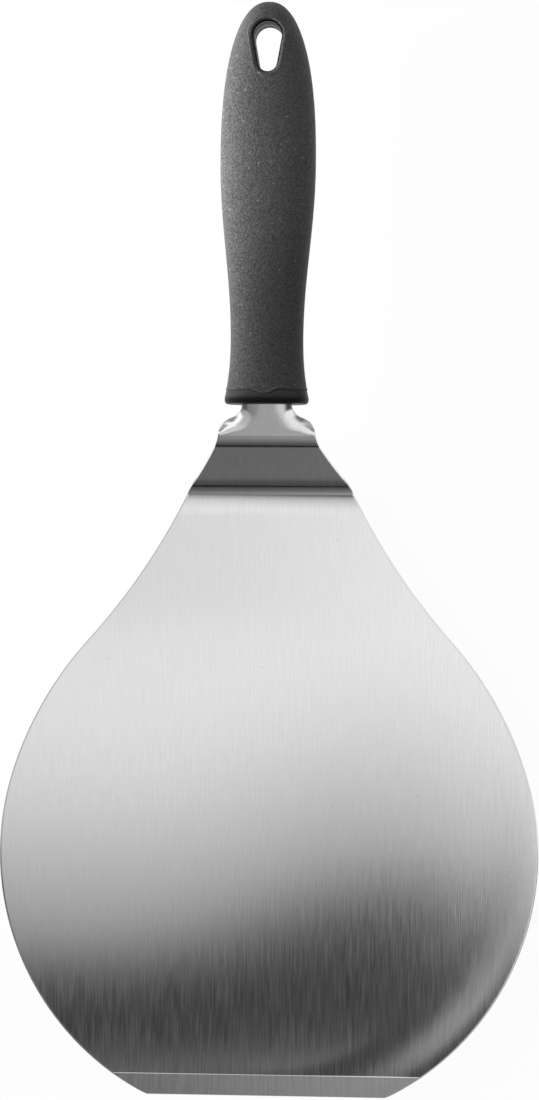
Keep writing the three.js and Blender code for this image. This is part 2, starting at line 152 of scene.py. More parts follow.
# Mesh density
FLAT_LANES = 30                     # between the turned-down strips
STRIP_LANES = 14                    # across each strip
ARC_STEPS = 3                       # round each cut edge
EDGE_STEP = 0.2                     # along the edge that the strip is measured from
EDGE_BEFORE = 12.0                  # how far that edge is followed in front of the shoulders
EDGE_AFTER = 4.0                    # and past the end of the turned strip
PROBE = 0.02                        # half the span over which the strip's slope is measured
LIP_FINE = 0.6                      # finely divided length on each side of the burr
LIP_CLEAR = 1.0                     # burr to the first section of the plain disc
SECTION_SIDES = 128                 # round the handle
TIP_CROWDING = 2.2                  # how closely the sections crowd towards the tip
BEAD_STEPS = 8
EYE_SIDES = 40                      # round each end of the eye
RIM_STEPS = 10
PIN_SIDES = 40
SHARP = math.radians(40)            # edges that turn more stay sharp


def spread(start, end, steps):
    return [start + (end - start) * (i + 1) / steps for i in range(steps)]


def smooth(value, low, high):
    part = min(1.0, max(0.0, (value - low) / (high - low)))
    return part * part * (3 - 2 * part)


# Arcs of the crank in turn: radius, slope at the start and slope at the end
arcs = (
    (LEAD_BEND, 0.0, LEAD_TURN),
    (NEAR_BEND, LEAD_TURN, NEAR_TURN),
    (CREASE_BEND, NEAR_TURN, CREASE_TURN),
    (LOWER_BEND, CREASE_TURN, LOWER_TURN),
    (LOWER_EASE, LOWER_TURN, CRANK),
    (UPPER_CREASE, CRANK, UPPER_KNEE),
    (UPPER_EASE, UPPER_KNEE, UPPER_TURN),
    (UPPER_BEND, UPPER_TURN, NECK_TILT),
)
arc_runs = [radius * abs(end - start) for radius, start, end in arcs]
arc_rise = sum(radius * abs(math.cos(start) - math.cos(end)) for radius, start, end in arcs)
slope_run = (RISE - arc_rise) / math.sin(CRANK)
near_start = BEND_START - arc_runs[1]
lead_start = near_start - arc_runs[0]
crease_end = BEND_START + arc_runs[2]
lower_end = crease_end + arc_runs[3]
ease_end = lower_end + arc_runs[4]
upper_start = ease_end + slope_run
knee_end = upper_start + arc_runs[5]
turn_start = knee_end + arc_runs[6]
upper_end = turn_start + arc_runs[7]

# Centre line of the sheet, by length along it from the disc's centre: runs and their turns
turns = [(run, end - start) for run, (_, start, end) in zip(arc_runs, arcs)]
bends = [
    (lead_start, 0.0),
    *turns[:5],
    (slope_run, 0.0),
    *turns[5:],
    (COLLAR_RUN, 0.0),
    (SETTLE_RUN, TILT - NECK_TILT),
    (math.inf, 0.0),
]


def centre_line(along):
    y, z, slope, left = 0.0, SHEET / 2, 0.0, along
    for length, turn in bends:
        step = min(left, length)
        if turn == 0:
            y += step * math.cos(slope)
            z += step * math.sin(slope)
        else:
            radius = length / turn
            after = slope + step / radius
            y += radius * (math.sin(after) - math.sin(slope))
            z += radius * (math.cos(slope) - math.cos(after))
            slope = after
        left -= step
        if left <= 0:
            break
    return y, z, slope


# The point to the right of the line between two centres that lies at a distance from each
def circles_meet(a, from_a, b, from_b):
    line = b - a
    span = line.length
    along = (span**2 + from_a**2 - from_b**2) / (2 * span)
    aside = math.sqrt(from_a**2 - along**2)
    line /= span
    return Vector((a.x + line.x * along + line.y * aside, a.y + line.y * along - line.x * aside))


front_reach = math.sqrt(DISC_RADIUS**2 - (FRONT_EDGE / 2) ** 2)
lip_end = LIP_WIDTH - front_reach
collar_at = upper_end + COLLAR_RUN
shoulder_at = collar_at - SHOULDER_BACK
flank_centre = Vector((math.sin(FLANK_START), math.cos(FLANK_START))) * (DISC_RADIUS - FLANK_RADIUS)
neck_centre = circles_meet(
    flank_centre, FLANK_RADIUS + NECK_RADIUS, Vector((NECK_WIDTH / 2, shoulder_at)), NECK_RADIUS
)
disc_end = DISC_RADIUS * math.cos(FLANK_START)
flank_share = FLANK_RADIUS / (FLANK_RADIUS + NECK_RADIUS)
flank_end = flank_centre.y + (neck_centre.y - flank_centre.y) * flank_share
shoulder_drop = (NECK_WIDTH - MOUTH_TANG) / 2
corner_sum = CORNER_RADIUS + FILLET_RADIUS
side_slope = math.acos(max(math.cos(STEEPEST), 1 - shoulder_drop / corner_sum))
side_length = (shoulder_drop - corner_sum * (1 - math.cos(side_slope))) / math.sin(side_slope)
corner_end = CORNER_RADIUS * math.sin(side_slope)
side_end = corner_end + side_length * math.cos(side_slope)
shoulder_length = side_end + FILLET_RADIUS * math.sin(side_slope)
eye_near = HANDLE_LENGTH - EYE_FROM_TIP - EYE_LENGTH
eye_middle = HANDLE_LENGTH - EYE_FROM_TIP - EYE_LENGTH / 2
eye_wide_at = HANDLE_LENGTH - EYE_FROM_TIP - EYE_WIDE
eye_narrow_at = eye_near + EYE_NARROW
tang_end = collar_at + eye_near - TANG_TO_EYE


def shoulder_half(run):
    if run < corner_end:
        return NECK_WIDTH / 2 - CORNER_RADIUS + math.sqrt(CORNER_RADIUS**2 - run**2)
    if run < side_end:
        corner = NECK_WIDTH / 2 - CORNER_RADIUS * (1 - math.cos(side_slope))
        return corner - (run - corner_end) * math.tan(side_slope)
    return MOUTH_TANG / 2 + FILLET_RADIUS - math.sqrt(FILLET_RADIUS**2 - (shoulder_length - run) ** 2)


# How much a round of a radius takes off at a distance from its start
def round_off(distance, radius):
    if distance >= radius:
        return 0.0
    return radius - math.sqrt(radius**2 - (radius - distance) ** 2)


# Half the sheet's width seen from above; grow widens the tang for the core's pocket
def outline_half(along, grow):
    if along < disc_end:
        rounding = round_off(along + front_reach, FRONT_CORNER) / 2
        return math.sqrt(DISC_RADIUS**2 - along**2) - rounding
    if along < flank_end:
        return flank_centre.x + math.sqrt(FLANK_RADIUS**2 - (along - flank_centre.y) ** 2)
    if along < shoulder_at:
        return neck_centre.x - math.sqrt(NECK_RADIUS**2 - (along - neck_centre.y) ** 2)
    if along < shoulder_at + shoulder_length:
        return shoulder_half(along - shoulder_at) + grow
    narrowing = smooth(along, collar_at, collar_at + TANG_TAPER)
    tang_half = MOUTH_TANG / 2 + (TANG_WIDTH - MOUTH_TANG) / 2 * narrowing + grow
    past = max(0.0, along - (tang_end - TANG_CORNER))
    corner = TANG_CORNER + grow
    return tang_half - corner + math.sqrt(corner**2 - min(past, corner) ** 2)


# Points along the edge of the neck, the shoulders and the start of the tang
edge_end = collar_at + FLANGE_FADE + EDGE_AFTER
edge_along = np.arange(shoulder_at - EDGE_BEFORE, edge_end, EDGE_STEP)
edge_half = np.array([outline_half(along, 0.0) for along in edge_along])
edge_step = np.diff(edge_along)
edge_turn = np.diff(edge_half)
edge_square = edge_step**2 + edge_turn**2


# Distance from a point to the nearest piece of that edge
def edge_distance(across, along):
    out = abs(across) - edge_half[:-1]
    ahead = along - edge_along[:-1]
    share = np.clip((out * edge_turn + ahead * edge_step) / edge_square, 0, 1)
    return np.hypot(out - share * edge_turn, ahead - share * edge_step).min()


# How far the sheet is turned down at a point, by its distance from the neck's edge
def neck_drop(across, along):
    flange_at = shoulder_at + FLANGE_START
    start = smooth(along, flange_at, flange_at + FLANGE_RUN)
    fade = start * (1 - smooth(along, collar_at, collar_at + FLANGE_FADE))
    if fade == 0:
        return 0.0
    distance = edge_distance(across, along)
    if abs(across) > outline_half(along, 0.0):
        distance = -distance
    within = max(0.0, FLANGE_WIDTH - distance)
    curved = min(within, FLANGE_WIDTH)
    bent = FLANGE_WIDTH / FLANGE_POWER * (curved / FLANGE_WIDTH) ** FLANGE_POWER
    eased = 1 - FLANGE_EASE * smooth(along, collar_at - EASE_RUN, collar_at)
    return fade * eased * (bent + within - curved) * math.tan(FLANGE_TURN)


# What the grinding of the front lip takes off the top, with the fine burr left along its upper edge
def lip_ground(along):
    ground = (SHEET - LIP_EDGE) * max(0.0, 1 - (along + front_reach) / LIP_WIDTH)
    burr = LIP_BURR * math.exp(-(((along - lip_end) / LIP_BURR_WIDTH) ** 2))
    return ground - burr


# The pressed rim rises very slightly along the front right of the disc
def rim_lift(across, along):
    from_rim = DISC_RADIUS - math.hypot(across, along)
    towards = (across * math.cos(LIFT_TOWARDS) + along * math.sin(LIFT_TOWARDS)) / DISC_RADIUS
    return LIFT * smooth(LIFT_RUN - from_rim, 0.0, LIFT_RUN) * max(0.0, towards) ** 3


# One section of the sheet: top from left to right, right edge, bottom back, left edge.
# Each point carries the width coordinate that the brushed grain uses on its side.
def sheet_ring(along, grow):
    y, z, slope = centre_line(along)
    half = outline_half(along, grow)
    strip = min(FLANGE_WIDTH, half * STRIP_SHARE)
    flat = half - strip
    nose = round_off(along + front_reach, LIP_NOSE)
    top = SHEET / 2 - lip_ground(along) + grow - nose
    bottom = -SHEET / 2 - grow + nose
    ease = min(EDGE_EASE, (top - bottom) * EASE_SHARE)
    ahead = Vector((0, math.cos(slope), math.sin(slope)))
    upward = Vector((0, -math.sin(slope), math.cos(slope)))

    def place(across, height):
        drop = neck_drop(across, along)
        lean_x = (neck_drop(across + PROBE, along) - neck_drop(across - PROBE, along)) / (2 * PROBE)
        lean_y = (neck_drop(across, along + PROBE) - neck_drop(across, along - PROBE)) / (2 * PROBE)
        normal = Vector((lean_x, lean_y, 1.0)).normalized() * height
        point = Vector((across + normal.x, y, z))
        return point + ahead * normal.y + upward * (normal.z - drop + rim_lift(across, along))

    right = [flat, *spread(flat, half - ease, STRIP_LANES)]
    lanes = [-lane for lane in reversed(right)] + spread(-flat, flat, FLAT_LANES)[:-1] + right
    quarter = [math.radians(90) * i / ARC_STEPS for i in range(1, ARC_STEPS + 1)]
    arc = [(half - ease + ease * math.sin(a), ease - ease * math.cos(a)) for a in quarter]
    edge = [(across, top - fall) for across, fall in arc]
    edge += [(across, bottom + fall) for across, fall in reversed(arc)]
    ring = [place(lane, top) for lane in lanes]
    ring += [place(across, height) for across, height in edge]
    ring += [place(lane, bottom) for lane in reversed(lanes)]
    ring += [place(-across, height) for across, height in reversed(edge)]
    widths = lanes + [half + top - height for _, height in edge]
    widths += [lane for lane in reversed(lanes)]
    widths += [-half - top + height for _, height in reversed(edge)]
    return ring, widths


# Closed skin through a row of rings; a ring of one point closes an end
def loft(rings):
    points, faces, starts = [], [], []
    for ring in rings:
        starts.append(len(points))
        points += ring
    for row in range(len(rings) - 1):
        near, far = rings[row], rings[row + 1]
        count = max(len(near), len(far))
        for i in range(count):
            j = (i + 1) % count
            if len(near) == 1:
                faces.append((starts[row], starts[row + 1] + j, starts[row + 1] + i))
            elif len(far) == 1:
                faces.append((starts[row] + i, starts[row] + j, starts[row + 1]))
            else:
                near_pair = (starts[row] + i, starts[row] + j)
                faces.append((*near_pair, starts[row + 1] + j, starts[row + 1] + i))
    return points, faces


# Flat cap over a ring whose two halves mirror each other, as a strip between them
def strip_cap(start, count, shift):
    faces = []
    for i in range(count // 2 - 1):
        corners = (i, i + 1, count - 2 - i, count - 1 - i)
        faces.append(tuple(start + (k + shift) % count for k in corners))
    return faces


def make_object(name, points, faces, grain=None):
    mesh = bpy.data.meshes.new(name)
    mesh.from_pydata([tuple(point * MM) for point in points], [], faces)
    if grain:
        layer = mesh.uv_layers.new(name="grain")
        for loop in mesh.loops:
            layer.data[loop.index].uv = grain[loop.vertex_index]
    shell = bmesh.new()
    shell.from_mesh(mesh)
    bmesh.ops.recalc_face_normals(shell, faces=shell.faces)
    shell.to_mesh(mesh)
    shell.free()
    piece = bpy.data.objects.new(name, mesh)
    bpy.context.collection.objects.link(piece)
    return piece


# Cuts the cutters out of a piece for good, and removes them
def carve(piece, cutters):
    for cutter in cutters:
        modifier = piece.modifiers.new("cut", "BOOLEAN")
        modifier.operation = "DIFFERENCE"
        modifier.solver = "EXACT"
        modifier.object = cutter
    depsgraph = bpy.context.evaluated_depsgraph_get()
    carved = bpy.data.meshes.new_from_object(piece.evaluated_get(depsgraph))
    piece.modifiers.clear()
    spare = piece.data
    piece.data = carved
    carved.name = piece.name
    bpy.data.meshes.remove(spare)
    for cutter in cutters:
        bpy.data.meshes.remove(cutter.data)


def shade(piece):
    piece.data.shade_smooth()
    piece.data.set_sharp_from_angle(angle=SHARP)


def make_sheet(name, stations, grow, grained):
    sections = [sheet_ring(along, grow) for along in stations]
    rings = [ring for ring, _ in sections]
    count = len(rings[0])
    points, faces = loft(rings)
    shift = -ARC_STEPS
    faces += strip_cap(0, count, shift)
    faces += strip_cap(len(points) - count, count, shift)
    grain = []
    for along, (_, widths) in zip(stations, sections):
        grain += [(width, along) for width in widths]
    return make_object(name, points, faces, grain if grained else None)


def tang_stations(grow):
    corner_start = tang_end - TANG_CORNER
    reach = tang_end + grow - corner_start
    corner = [corner_start + reach * math.sin(a) for a in spread(0, math.radians(90), 10)]
    return [
        *spread(collar_at, collar_at + FLANGE_FADE, 24),
        *spread(collar_at + FLANGE_FADE, corner_start, 8),
        *corner,
    ]


def blade_stations():
    nose = [-front_reach + LIP_NOSE * share for share in (0.0, 0.15, 0.45, 1.0)]
    lip_start = -front_reach + FRONT_CORNER
    lip_angle = math.asin((lip_end + LIP_CLEAR) / DISC_RADIUS)
    disc_turn = math.asin(disc_end / DISC_RADIUS)
    return [
        *nose,
        *spread(nose[-1], lip_start, 5),
        *spread(lip_start, lip_end - LIP_FINE, 6),
        *spread(lip_end - LIP_FINE, lip_end + LIP_FINE, 20),
        lip_end + LIP_CLEAR,
        *(DISC_RADIUS * math.sin(a) for a in spread(lip_angle, disc_turn, 72)),
        *spread(disc_end, flank_end, 24),
        *spread(flank_end, lead_start, 20),
        *spread(lead_start, near_start, 10),
        *spread(near_start, BEND_START, 6),
        *spread(BEND_START, crease_end, 5),
        *spread(crease_end, lower_end, 22),
        *spread(lower_end, ease_end, 12),
        *spread(ease_end, upper_start, 10),
        *spread(upper_start, knee_end, 8),
        *spread(knee_end, turn_start, 6),
        *spread(turn_start, upper_end, 24),
        *spread(upper_end, collar_at, 48),
        *tang_stations(0.0),
    ]


# Handle: half width and half depth by distance from the front face, drawn in by an inset
def swell(v, mouth, waist, belly):
    if v < WAIST_AT:
        return waist + (mouth - waist) * (1 - v / WAIST_AT) ** MOUTH_FLARE
    part = min(1.0, (v - WAIST_AT) / (BELLY_AT - WAIST_AT))
    return waist + (belly - waist) * (1 - math.cos(math.pi * part)) / 2


def half_width(v, inset):
    size = swell(v, MOUTH_WIDTH / 2 - inset, WAIST_WIDTH / 2 - inset, BELLY_WIDTH / 2 - inset)
    to_tip = min(1.0, max(0.0, (v - BELLY_AT) / (HANDLE_LENGTH - inset - BELLY_AT)))
    return size * (1 - to_tip**WIDTH_POWER) ** WIDTH_ROOT


def half_depth(v, inset):
    size = swell(v, MOUTH_DEPTH / 2 - inset, WAIST_DEPTH / 2 - inset, BELLY_DEPTH / 2 - inset)
    to_tip = min(1.0, max(0.0, (v - HANDLE_LENGTH + TIP_RUN) / (TIP_RUN - inset)))
    return size * math.sqrt(1 - to_tip**2)


def top_surface(x, v):
    share = min(1.0, abs(x) / half_width(v, 0))
    return half_depth(v, 0) * (1 - share**SQUARENESS) ** (1 / SQUARENESS)


def squared(value):
    return math.copysign(abs(value) ** (2 / SQUARENESS), value)


# Section of the handle; station gives the distance from the front face for each angle
def handle_ring(station, inset):
    ring = []
    for i in range(SECTION_SIDES):
        angle = -2 * math.pi * i / SECTION_SIDES
        v = station(angle) if callable(station) else station
        x = half_width(v, inset) * squared(math.cos(angle))
        z = half_depth(v, inset) * squared(math.sin(angle))
        ring.append(Vector((x, v, z)))
    return ring


# Front end of the skin, with the tongue that dips over the collar on the top face
def seam_station(shift):
    def station(angle):
        x = MOUTH_WIDTH / 2 * squared(math.cos(angle))
        share = min(1.0, abs(x) / (TONGUE_WIDTH / 2))
        dip = TONGUE_DIP * math.cos(math.pi / 2 * share) ** 2 if math.sin(angle) > 0 else 0.0
        return SEAM_AT + shift - dip
    return station


def body_rings(inset, start):
    tip = HANDLE_LENGTH - inset
    shares = [part**TIP_CROWDING for part in spread(1, 0, 40)[:-1]]
    stations = [
        *spread(start, WAIST_AT, 14),
        *spread(WAIST_AT, BELLY_AT, 26),
        *(tip - (tip - BELLY_AT) * share for share in shares),
    ]
    return [handle_ring(v, inset) for v in stations] + [[Vector((0, tip, 0))]]


# Round of an edge: pairs of a distance past the edge and an inset, from the face to the side
def edge_round(radius, steps):
    angles = [math.radians(90) * i / steps for i in range(steps + 1)]
    return [(radius * (1 - math.cos(a)), radius * (1 - math.sin(a))) for a in angles]


mouth_y, mouth_z, _ = centre_line(collar_at)
handle_matrix = Matrix.Translation((0, mouth_y, mouth_z)) @ Matrix.Rotation(TILT, 4, "X")


def make_handle_piece(name, rings):
    points, faces = loft(rings)
    return make_object(name, [handle_matrix @ point for point in points], faces)


def core_rings():
    inset = SKIN_WALL + CLEARANCE
    stretch = MOUTH_RUN / MOUTH_ROUND
    back = list(reversed(edge_round(SEAM_ROUND, 4)))
    return [
        [Vector((0, 0, 0))],
        *(handle_ring(v * stretch, drawn) for v, drawn in edge_round(MOUTH_ROUND, 10)),
        handle_ring(seam_station(-COLLAR_BACK), 0),
        *(handle_ring(seam_station(-past), drawn) for past, drawn in back),
        handle_ring(seam_station(0), inset),
        *body_rings(inset, SEAM_AT + CORE_START),
    ]


def skin_rings():
    start = SEAM_AT + SEAM_GAP + SEAM_ROUND + BEAD_WIDTH
    bead = [
        (SEAM_ROUND + BEAD_WIDTH * part, SEAM_BEAD * math.sin(math.pi * part) ** 2)
        for part in spread(0, 1, BEAD_STEPS)
    ]
    return [
        *reversed(body_rings(SKIN_WALL, start)),
        handle_ring(seam_station(SEAM_GAP), SKIN_WALL),
        *(handle_ring(seam_station(SEAM_GAP + past), drawn) for past, drawn in edge_round(SEAM_ROUND, 5)),
        *(handle_ring(seam_station(SEAM_GAP + past), -raised) for past, raised in bead),
        *body_rings(0, start),
    ]


# Outline of the eye, widened by an offset: two round ends and the straight sides that join them
def eye_outline(offset):
    lean = math.asin((EYE_WIDE - EYE_NARROW) / (eye_wide_at - eye_narrow_at))
    ends = (
        (eye_wide_at, EYE_WIDE, -lean, math.pi + lean),
        (eye_narrow_at, EYE_NARROW, math.pi + lean, 2 * math.pi - lean),
    )
    outline = []
    for centre, radius, start, stop in ends:
        for angle in [start, *spread(start, stop, EYE_SIDES)]:
            reach = radius + offset
            outline.append((reach * math.cos(angle), centre + reach * math.sin(angle)))
    return outline


# Cutter of the core's part of the eye, with the groove where the halves of its mould met
def core_eye_cutter():
    clear = BELLY_DEPTH
    heights = [GROOVE_AT - GROOVE_HALF, GROOVE_AT, GROOVE_AT + GROOVE_HALF, clear]
    depths = [0.0, EYE_GROOVE, 0.0, 0.0]
    rings = []
    for sign in (-1, 1):
        levels = list(zip(heights, depths))
        for height, depth in levels if sign > 0 else reversed(levels):
            rings.append([Vector((x, y, sign * height)) for x, y in eye_outline(depth)])
    ends = [[Vector((0, eye_middle, sign * clear))] for sign in (-1, 1)]
    return make_handle_piece("eye_cutter", [ends[0], *rings, ends[1]])


# Cutter of the skin's part of the eye, with its round rim and its step back from the core's wall
def eye_cutter(rim, step):
    clear = BELLY_DEPTH
    angles = [RIM_START, *spread(RIM_START, math.radians(90), RIM_STEPS)]
    top = []
    for angle in angles:
        drop = rim * (1 - math.cos(angle))
        ring = eye_outline(step + rim * (1 - math.sin(angle)))
        top.append([Vector((x, y, top_surface(x, y) - drop)) for x, y in ring])
    mouth = [(p.x, p.y) for p in top[0]]
    above = [Vector((x, y, clear)) for x, y in mouth]
    centre = [Vector((0, eye_middle, clear))]
    upper = [*reversed(top), above, centre]
    lower = [[Vector((p.x, p.y, -p.z)) for p in ring] for ring in reversed(upper)]
    return make_handle_piece("eye_cutter", lower + upper)


# Round pins through the tang, for its anchor holes and for the plugs that fill them
def anchor_pins(radius):
    last = tang_end - collar_at - ANCHOR_MARGIN
    pins = []
    for i in range(ANCHOR_COUNT):
        v = ANCHOR_FIRST + (last - ANCHOR_FIRST) * i / (ANCHOR_COUNT - 1)
        turns = [2 * math.pi * k / PIN_SIDES for k in range(PIN_SIDES)]
        rings = [[Vector((0, v, -WAIST_DEPTH / 2))]]
        for z in (-WAIST_DEPTH / 2, WAIST_DEPTH / 2):
            rings.append([Vector((radius * math.cos(a), v + radius * math.sin(a), z)) for a in turns])
        rings.append([Vector((0, v, WAIST_DEPTH / 2))])
        pins.append(make_handle_piece("pin", rings))
    return pins


def build_blade():
    blade = make_sheet("blade_sheet", blade_stations(), 0.0, True)
    carve(blade, anchor_pins(ANCHOR_RADIUS))
    shade(blade)
    return blade


def build_core():
    pocket_start = collar_at - CLEARANCE
    pocket_stations = [pocket_start, collar_at, *tang_stations(CLEARANCE)]
    pocket = make_sheet("pocket", pocket_stations, CLEARANCE, False)
    carve(pocket, anchor_pins(ANCHOR_RADIUS - CLEARANCE))
    core = make_handle_piece("core_moulding", core_rings())
    carve(core, [pocket, core_eye_cutter()])
    shade(core)
    return core


def build_skin():
    skin = make_handle_piece("soft_skin", skin_rings())
    carve(skin, [eye_cutter(EYE_RIM, EYE_STEP)])
    shade(skin)
    return skin


# Short hand for building a node tree
class Nodes:
    def __init__(self, tree):
        self.tree = tree
        tree.nodes.clear()

    def add(self, kind, inputs=None, **settings):
        made = self.tree.nodes.new(kind)
        for name, value in settings.items():
            setattr(made, name, value)
        for key, value in (inputs or {}).items():
            self.feed(made.inputs[key], value)
        return made

    def feed(self, socket, value):
        if isinstance(value, bpy.types.NodeSocket):
            self.tree.links.new(value, socket)
        else:
            socket.default_value = value

    def math(self, operation, *values):
        made = self.add("ShaderNodeMath", operation=operation)
        for socket, value in zip(made.inputs, values):
            self.feed(socket, value)
        return made.outputs[0]

    def sum(self, *values):
        total = values[0]
        for value in values[1:]:
            total = self.math("ADD", total, value)
        return total

    def product(self, *values):
        total = values[0]
        for value in values[1:]:
            total = self.math("MULTIPLY", total, value)
        return total

    # Smooth step of a value between two limits
    def step(self, value, low, high, at_low=0.0, at_high=1.0):
        places = {"Value": value, "From Min": low, "From Max": high, "To Min": at_low, "To Max": at_high}
        return self.add("ShaderNodeMapRange", places, interpolation_type="SMOOTHSTEP").outputs["Result"]

    # Smooth window: one between the inner limits, nothing outside the outer ones
    def window(self, value, outer_low, low, high, outer_high):
        rise = self.step(value, outer_low, low)
        fall = self.step(value, high, outer_high, 1.0, 0.0)
        return self.math("MULTIPLY", rise, fall)

    def noise(self, vector, scale, stretch=(1, 1, 1), detail=2.0, roughness=0.5):
        mapping = self.add("ShaderNodeMapping", {"Vector": vector, "Scale": stretch})
        places = {"Vector": mapping.outputs[0], "Scale": scale, "Detail": detail, "Roughness": roughness}
        return self.add("ShaderNodeTexNoise", places).outputs[0]

    # What a product of shares leaves of one
    def rest(self, *values):
        return self.math("SUBTRACT", 1.0, self.product(*values))


def new_material(name):
    material = bpy.data.materials.new(name)
    material.use_nodes = True
    return material, Nodes(material.node_tree)


def grey(nodes, value):
    return nodes.add("ShaderNodeCombineColor", {"Red": value, "Green": value, "Blue": value}).outputs[0]


# Round spots, at most one in a cell: inner and outer radius, and the chances between which they show
def spots(nodes, cells, radii, chances):
    chance = nodes.add("ShaderNodeSeparateColor", {"Color": cells.outputs["Color"]}).outputs["Red"]
    spot = nodes.step(cells.outputs["Distance"], *radii, 1.0, 0.0)
    return nodes.product(spot, nodes.step(chance, *chances))


# Streaks of the brushed grain along the blade, three parts fine and one part broad
def steel_streaks(nodes, uv):
    fine = nodes.noise(uv, 1.0, (2.4, 0.075, 1), detail=3.0, roughness=0.6)
    broad = nodes.noise(uv, 1.0, (0.7, 0.06, 1), detail=3.0, roughness=0.55)
    return nodes.sum(nodes.product(fine, 0.75), nodes.product(broad, 0.25))


# Tone of the steel: streaks of its own, a few faint marks, and painted shade in the hollow of the lower
# bend
def steel_tone(nodes, uv, along):
    tint = nodes.noise(uv, 1.0, (1.5, 0.085, 1), detail=4.0, roughness=0.7)
    cloud = nodes.noise(uv, 0.03, detail=2.0)
    clean = nodes.sum(0.76, nodes.product(tint, 0.14), nodes.product(cloud, 0.02))
    spacing = {"Vector": uv, "Scale": 0.04, "Randomness": 1.0}
    cells = nodes.add("ShaderNodeTexVoronoi", spacing, voronoi_dimensions="2D")
    marks = nodes.product(spots(nodes, cells, (0.006, 0.02), (0.7, 0.8)), 0.12)
    # Painted shade: the colour is darkened across the hollow of the lower bend, where shade falls
    bend = nodes.window(along, crease_end + 0.2, crease_end + 1.8, ease_end - 0.5, ease_end + 2.0)
    crease_shade_paint = nodes.product(bend, 0.26)
    return nodes.math("SUBTRACT", clean, nodes.sum(marks, crease_shade_paint))


# Share of the light that the grain scatters, more on the ground lip
def steel_scatter(nodes, streak, along):
    ground = nodes.step(along, lip_end - 0.3, lip_end + 0.3, 2.8, 1.0)
    return nodes.product(nodes.step(streak, 0.40, 0.66, 0.0, 0.042), ground)


# Roughness of the steel: the pressed neck is duller than the pan, and less so at the collar
def steel_roughness(nodes, streak, along):
    pressed = nodes.step(along, shoulder_at - 1.0, shoulder_at + 2.5, 0.0, 0.2)
    at_collar = nodes.step(along, collar_at - 5.0, collar_at - 2.0, 1.0, 0.45)
    return nodes.sum(0.045, nodes.product(streak, 0.08), nodes.product(pressed, at_collar))


# Brushed steel: the grain runs along the blade, so highlights spread across it
def steel_material():
    material, nodes = new_material("brushed_steel")
    uv = nodes.add("ShaderNodeUVMap", uv_map="grain").outputs[0]
    along = nodes.add("ShaderNodeSeparateXYZ", {"Vector": uv}).outputs["Y"]
    streak = steel_streaks(nodes, uv)
    bump = nodes.add("ShaderNodeBump", {"Height": streak, "Strength": 0.03, "Distance": 0.0002})
    tangent = nodes.add("ShaderNodeTangent", direction_type="UV_MAP", uv_map="grain")
    shader = nodes.add("ShaderNodeBsdfPrincipled", {
        "Base Color": grey(nodes, steel_tone(nodes, uv, along)),
        "Metallic": nodes.rest(steel_scatter(nodes, streak, along)),
        "Roughness": steel_roughness(nodes, streak, along),
        "Anisotropic": 0.7,
        "Normal": bump.outputs[0],
        "Tangent": tangent.outputs[0],
    })
    nodes.add("ShaderNodeOutputMaterial", {"Surface": shader.outputs[0]})
    return material


# Distance from the eye's outline in millimetres, seen from above
def eye_distance(nodes, parts):
    length = eye_wide_at - eye_narrow_at
    across = nodes.product(parts["X"], 1 / MM)
    ahead = nodes.math("SUBTRACT", nodes.product(parts["Y"], 1 / MM), mouth_y + eye_narrow_at)
    share = nodes.math("MINIMUM", nodes.math("MAXIMUM", nodes.product(ahead, 1 / length), 0.0), 1.0)
    past = nodes.math("SUBTRACT", ahead, nodes.product(share, length))
    reach = nodes.math("SQRT", nodes.sum(nodes.product(across, across), nodes.product(past, past)))
    radius = nodes.sum(EYE_NARROW, nodes.product(share, EYE_WIDE - EYE_NARROW))
    return nodes.math("SUBTRACT", reach, radius)


# Soft skin: matt and grainy, with light flecks, a fine ridge round the eye, and painted shade that darkens
# it towards the waist
def skin_material():
    material, nodes = new_material("soft_grip_skin")
    place = nodes.add("ShaderNodeTexCoord").outputs["Object"]
    parts = nodes.add("ShaderNodeSeparateXYZ", {"Vector": place}).outputs
    painted_shade_full_to = 175.0 * MM
    painted_shade_gone_from = 225.0 * MM
    grain = nodes.noise(place, 1500.0, detail=3.0)
    cloud = nodes.noise(place, 90.0, detail=2.0)
    cells = nodes.add("ShaderNodeTexVoronoi", {"Vector": place, "Scale": 420.0, "Randomness": 1.0})
    fleck = spots(nodes, cells, (0.04, 0.24), (0.45, 0.95))
    mottle = nodes.step(grain, 0.3, 0.7, 0.0, 0.045)
    tone = nodes.sum(0.032, mottle, nodes.product(cloud, 0.012), nodes.product(fleck, 0.09))
    # Painted shade: the colour darkens towards the waist, where less light falls on the handle
    tone = nodes.product(tone, nodes.step(parts["Y"], painted_shade_full_to, painted_shade_gone_from, 0.68, 1.0))
    ridge = nodes.window(eye_distance(nodes, parts), 1.35, 1.75, 1.75, 2.15)
    raised = nodes.add("ShaderNodeBump", {"Height": ridge, "Strength": 1.0, "Distance": 0.00012})
    bump = nodes.add("ShaderNodeBump", {
        "Height": grain,
        "Strength": 0.45,
        "Distance": 0.0004,
        "Normal": raised.outputs[0],
    })
    shader = nodes.add("ShaderNodeBsdfPrincipled", {
        "Base Color": grey(nodes, tone),
        "Roughness": nodes.sum(0.55, nodes.product(grain, 0.15)),
        "Specular IOR Level": 0.35,
        "Normal": bump.outputs[0],
    })
    nodes.add("ShaderNodeOutputMaterial", {"Surface": shader.outputs[0]})
    return material
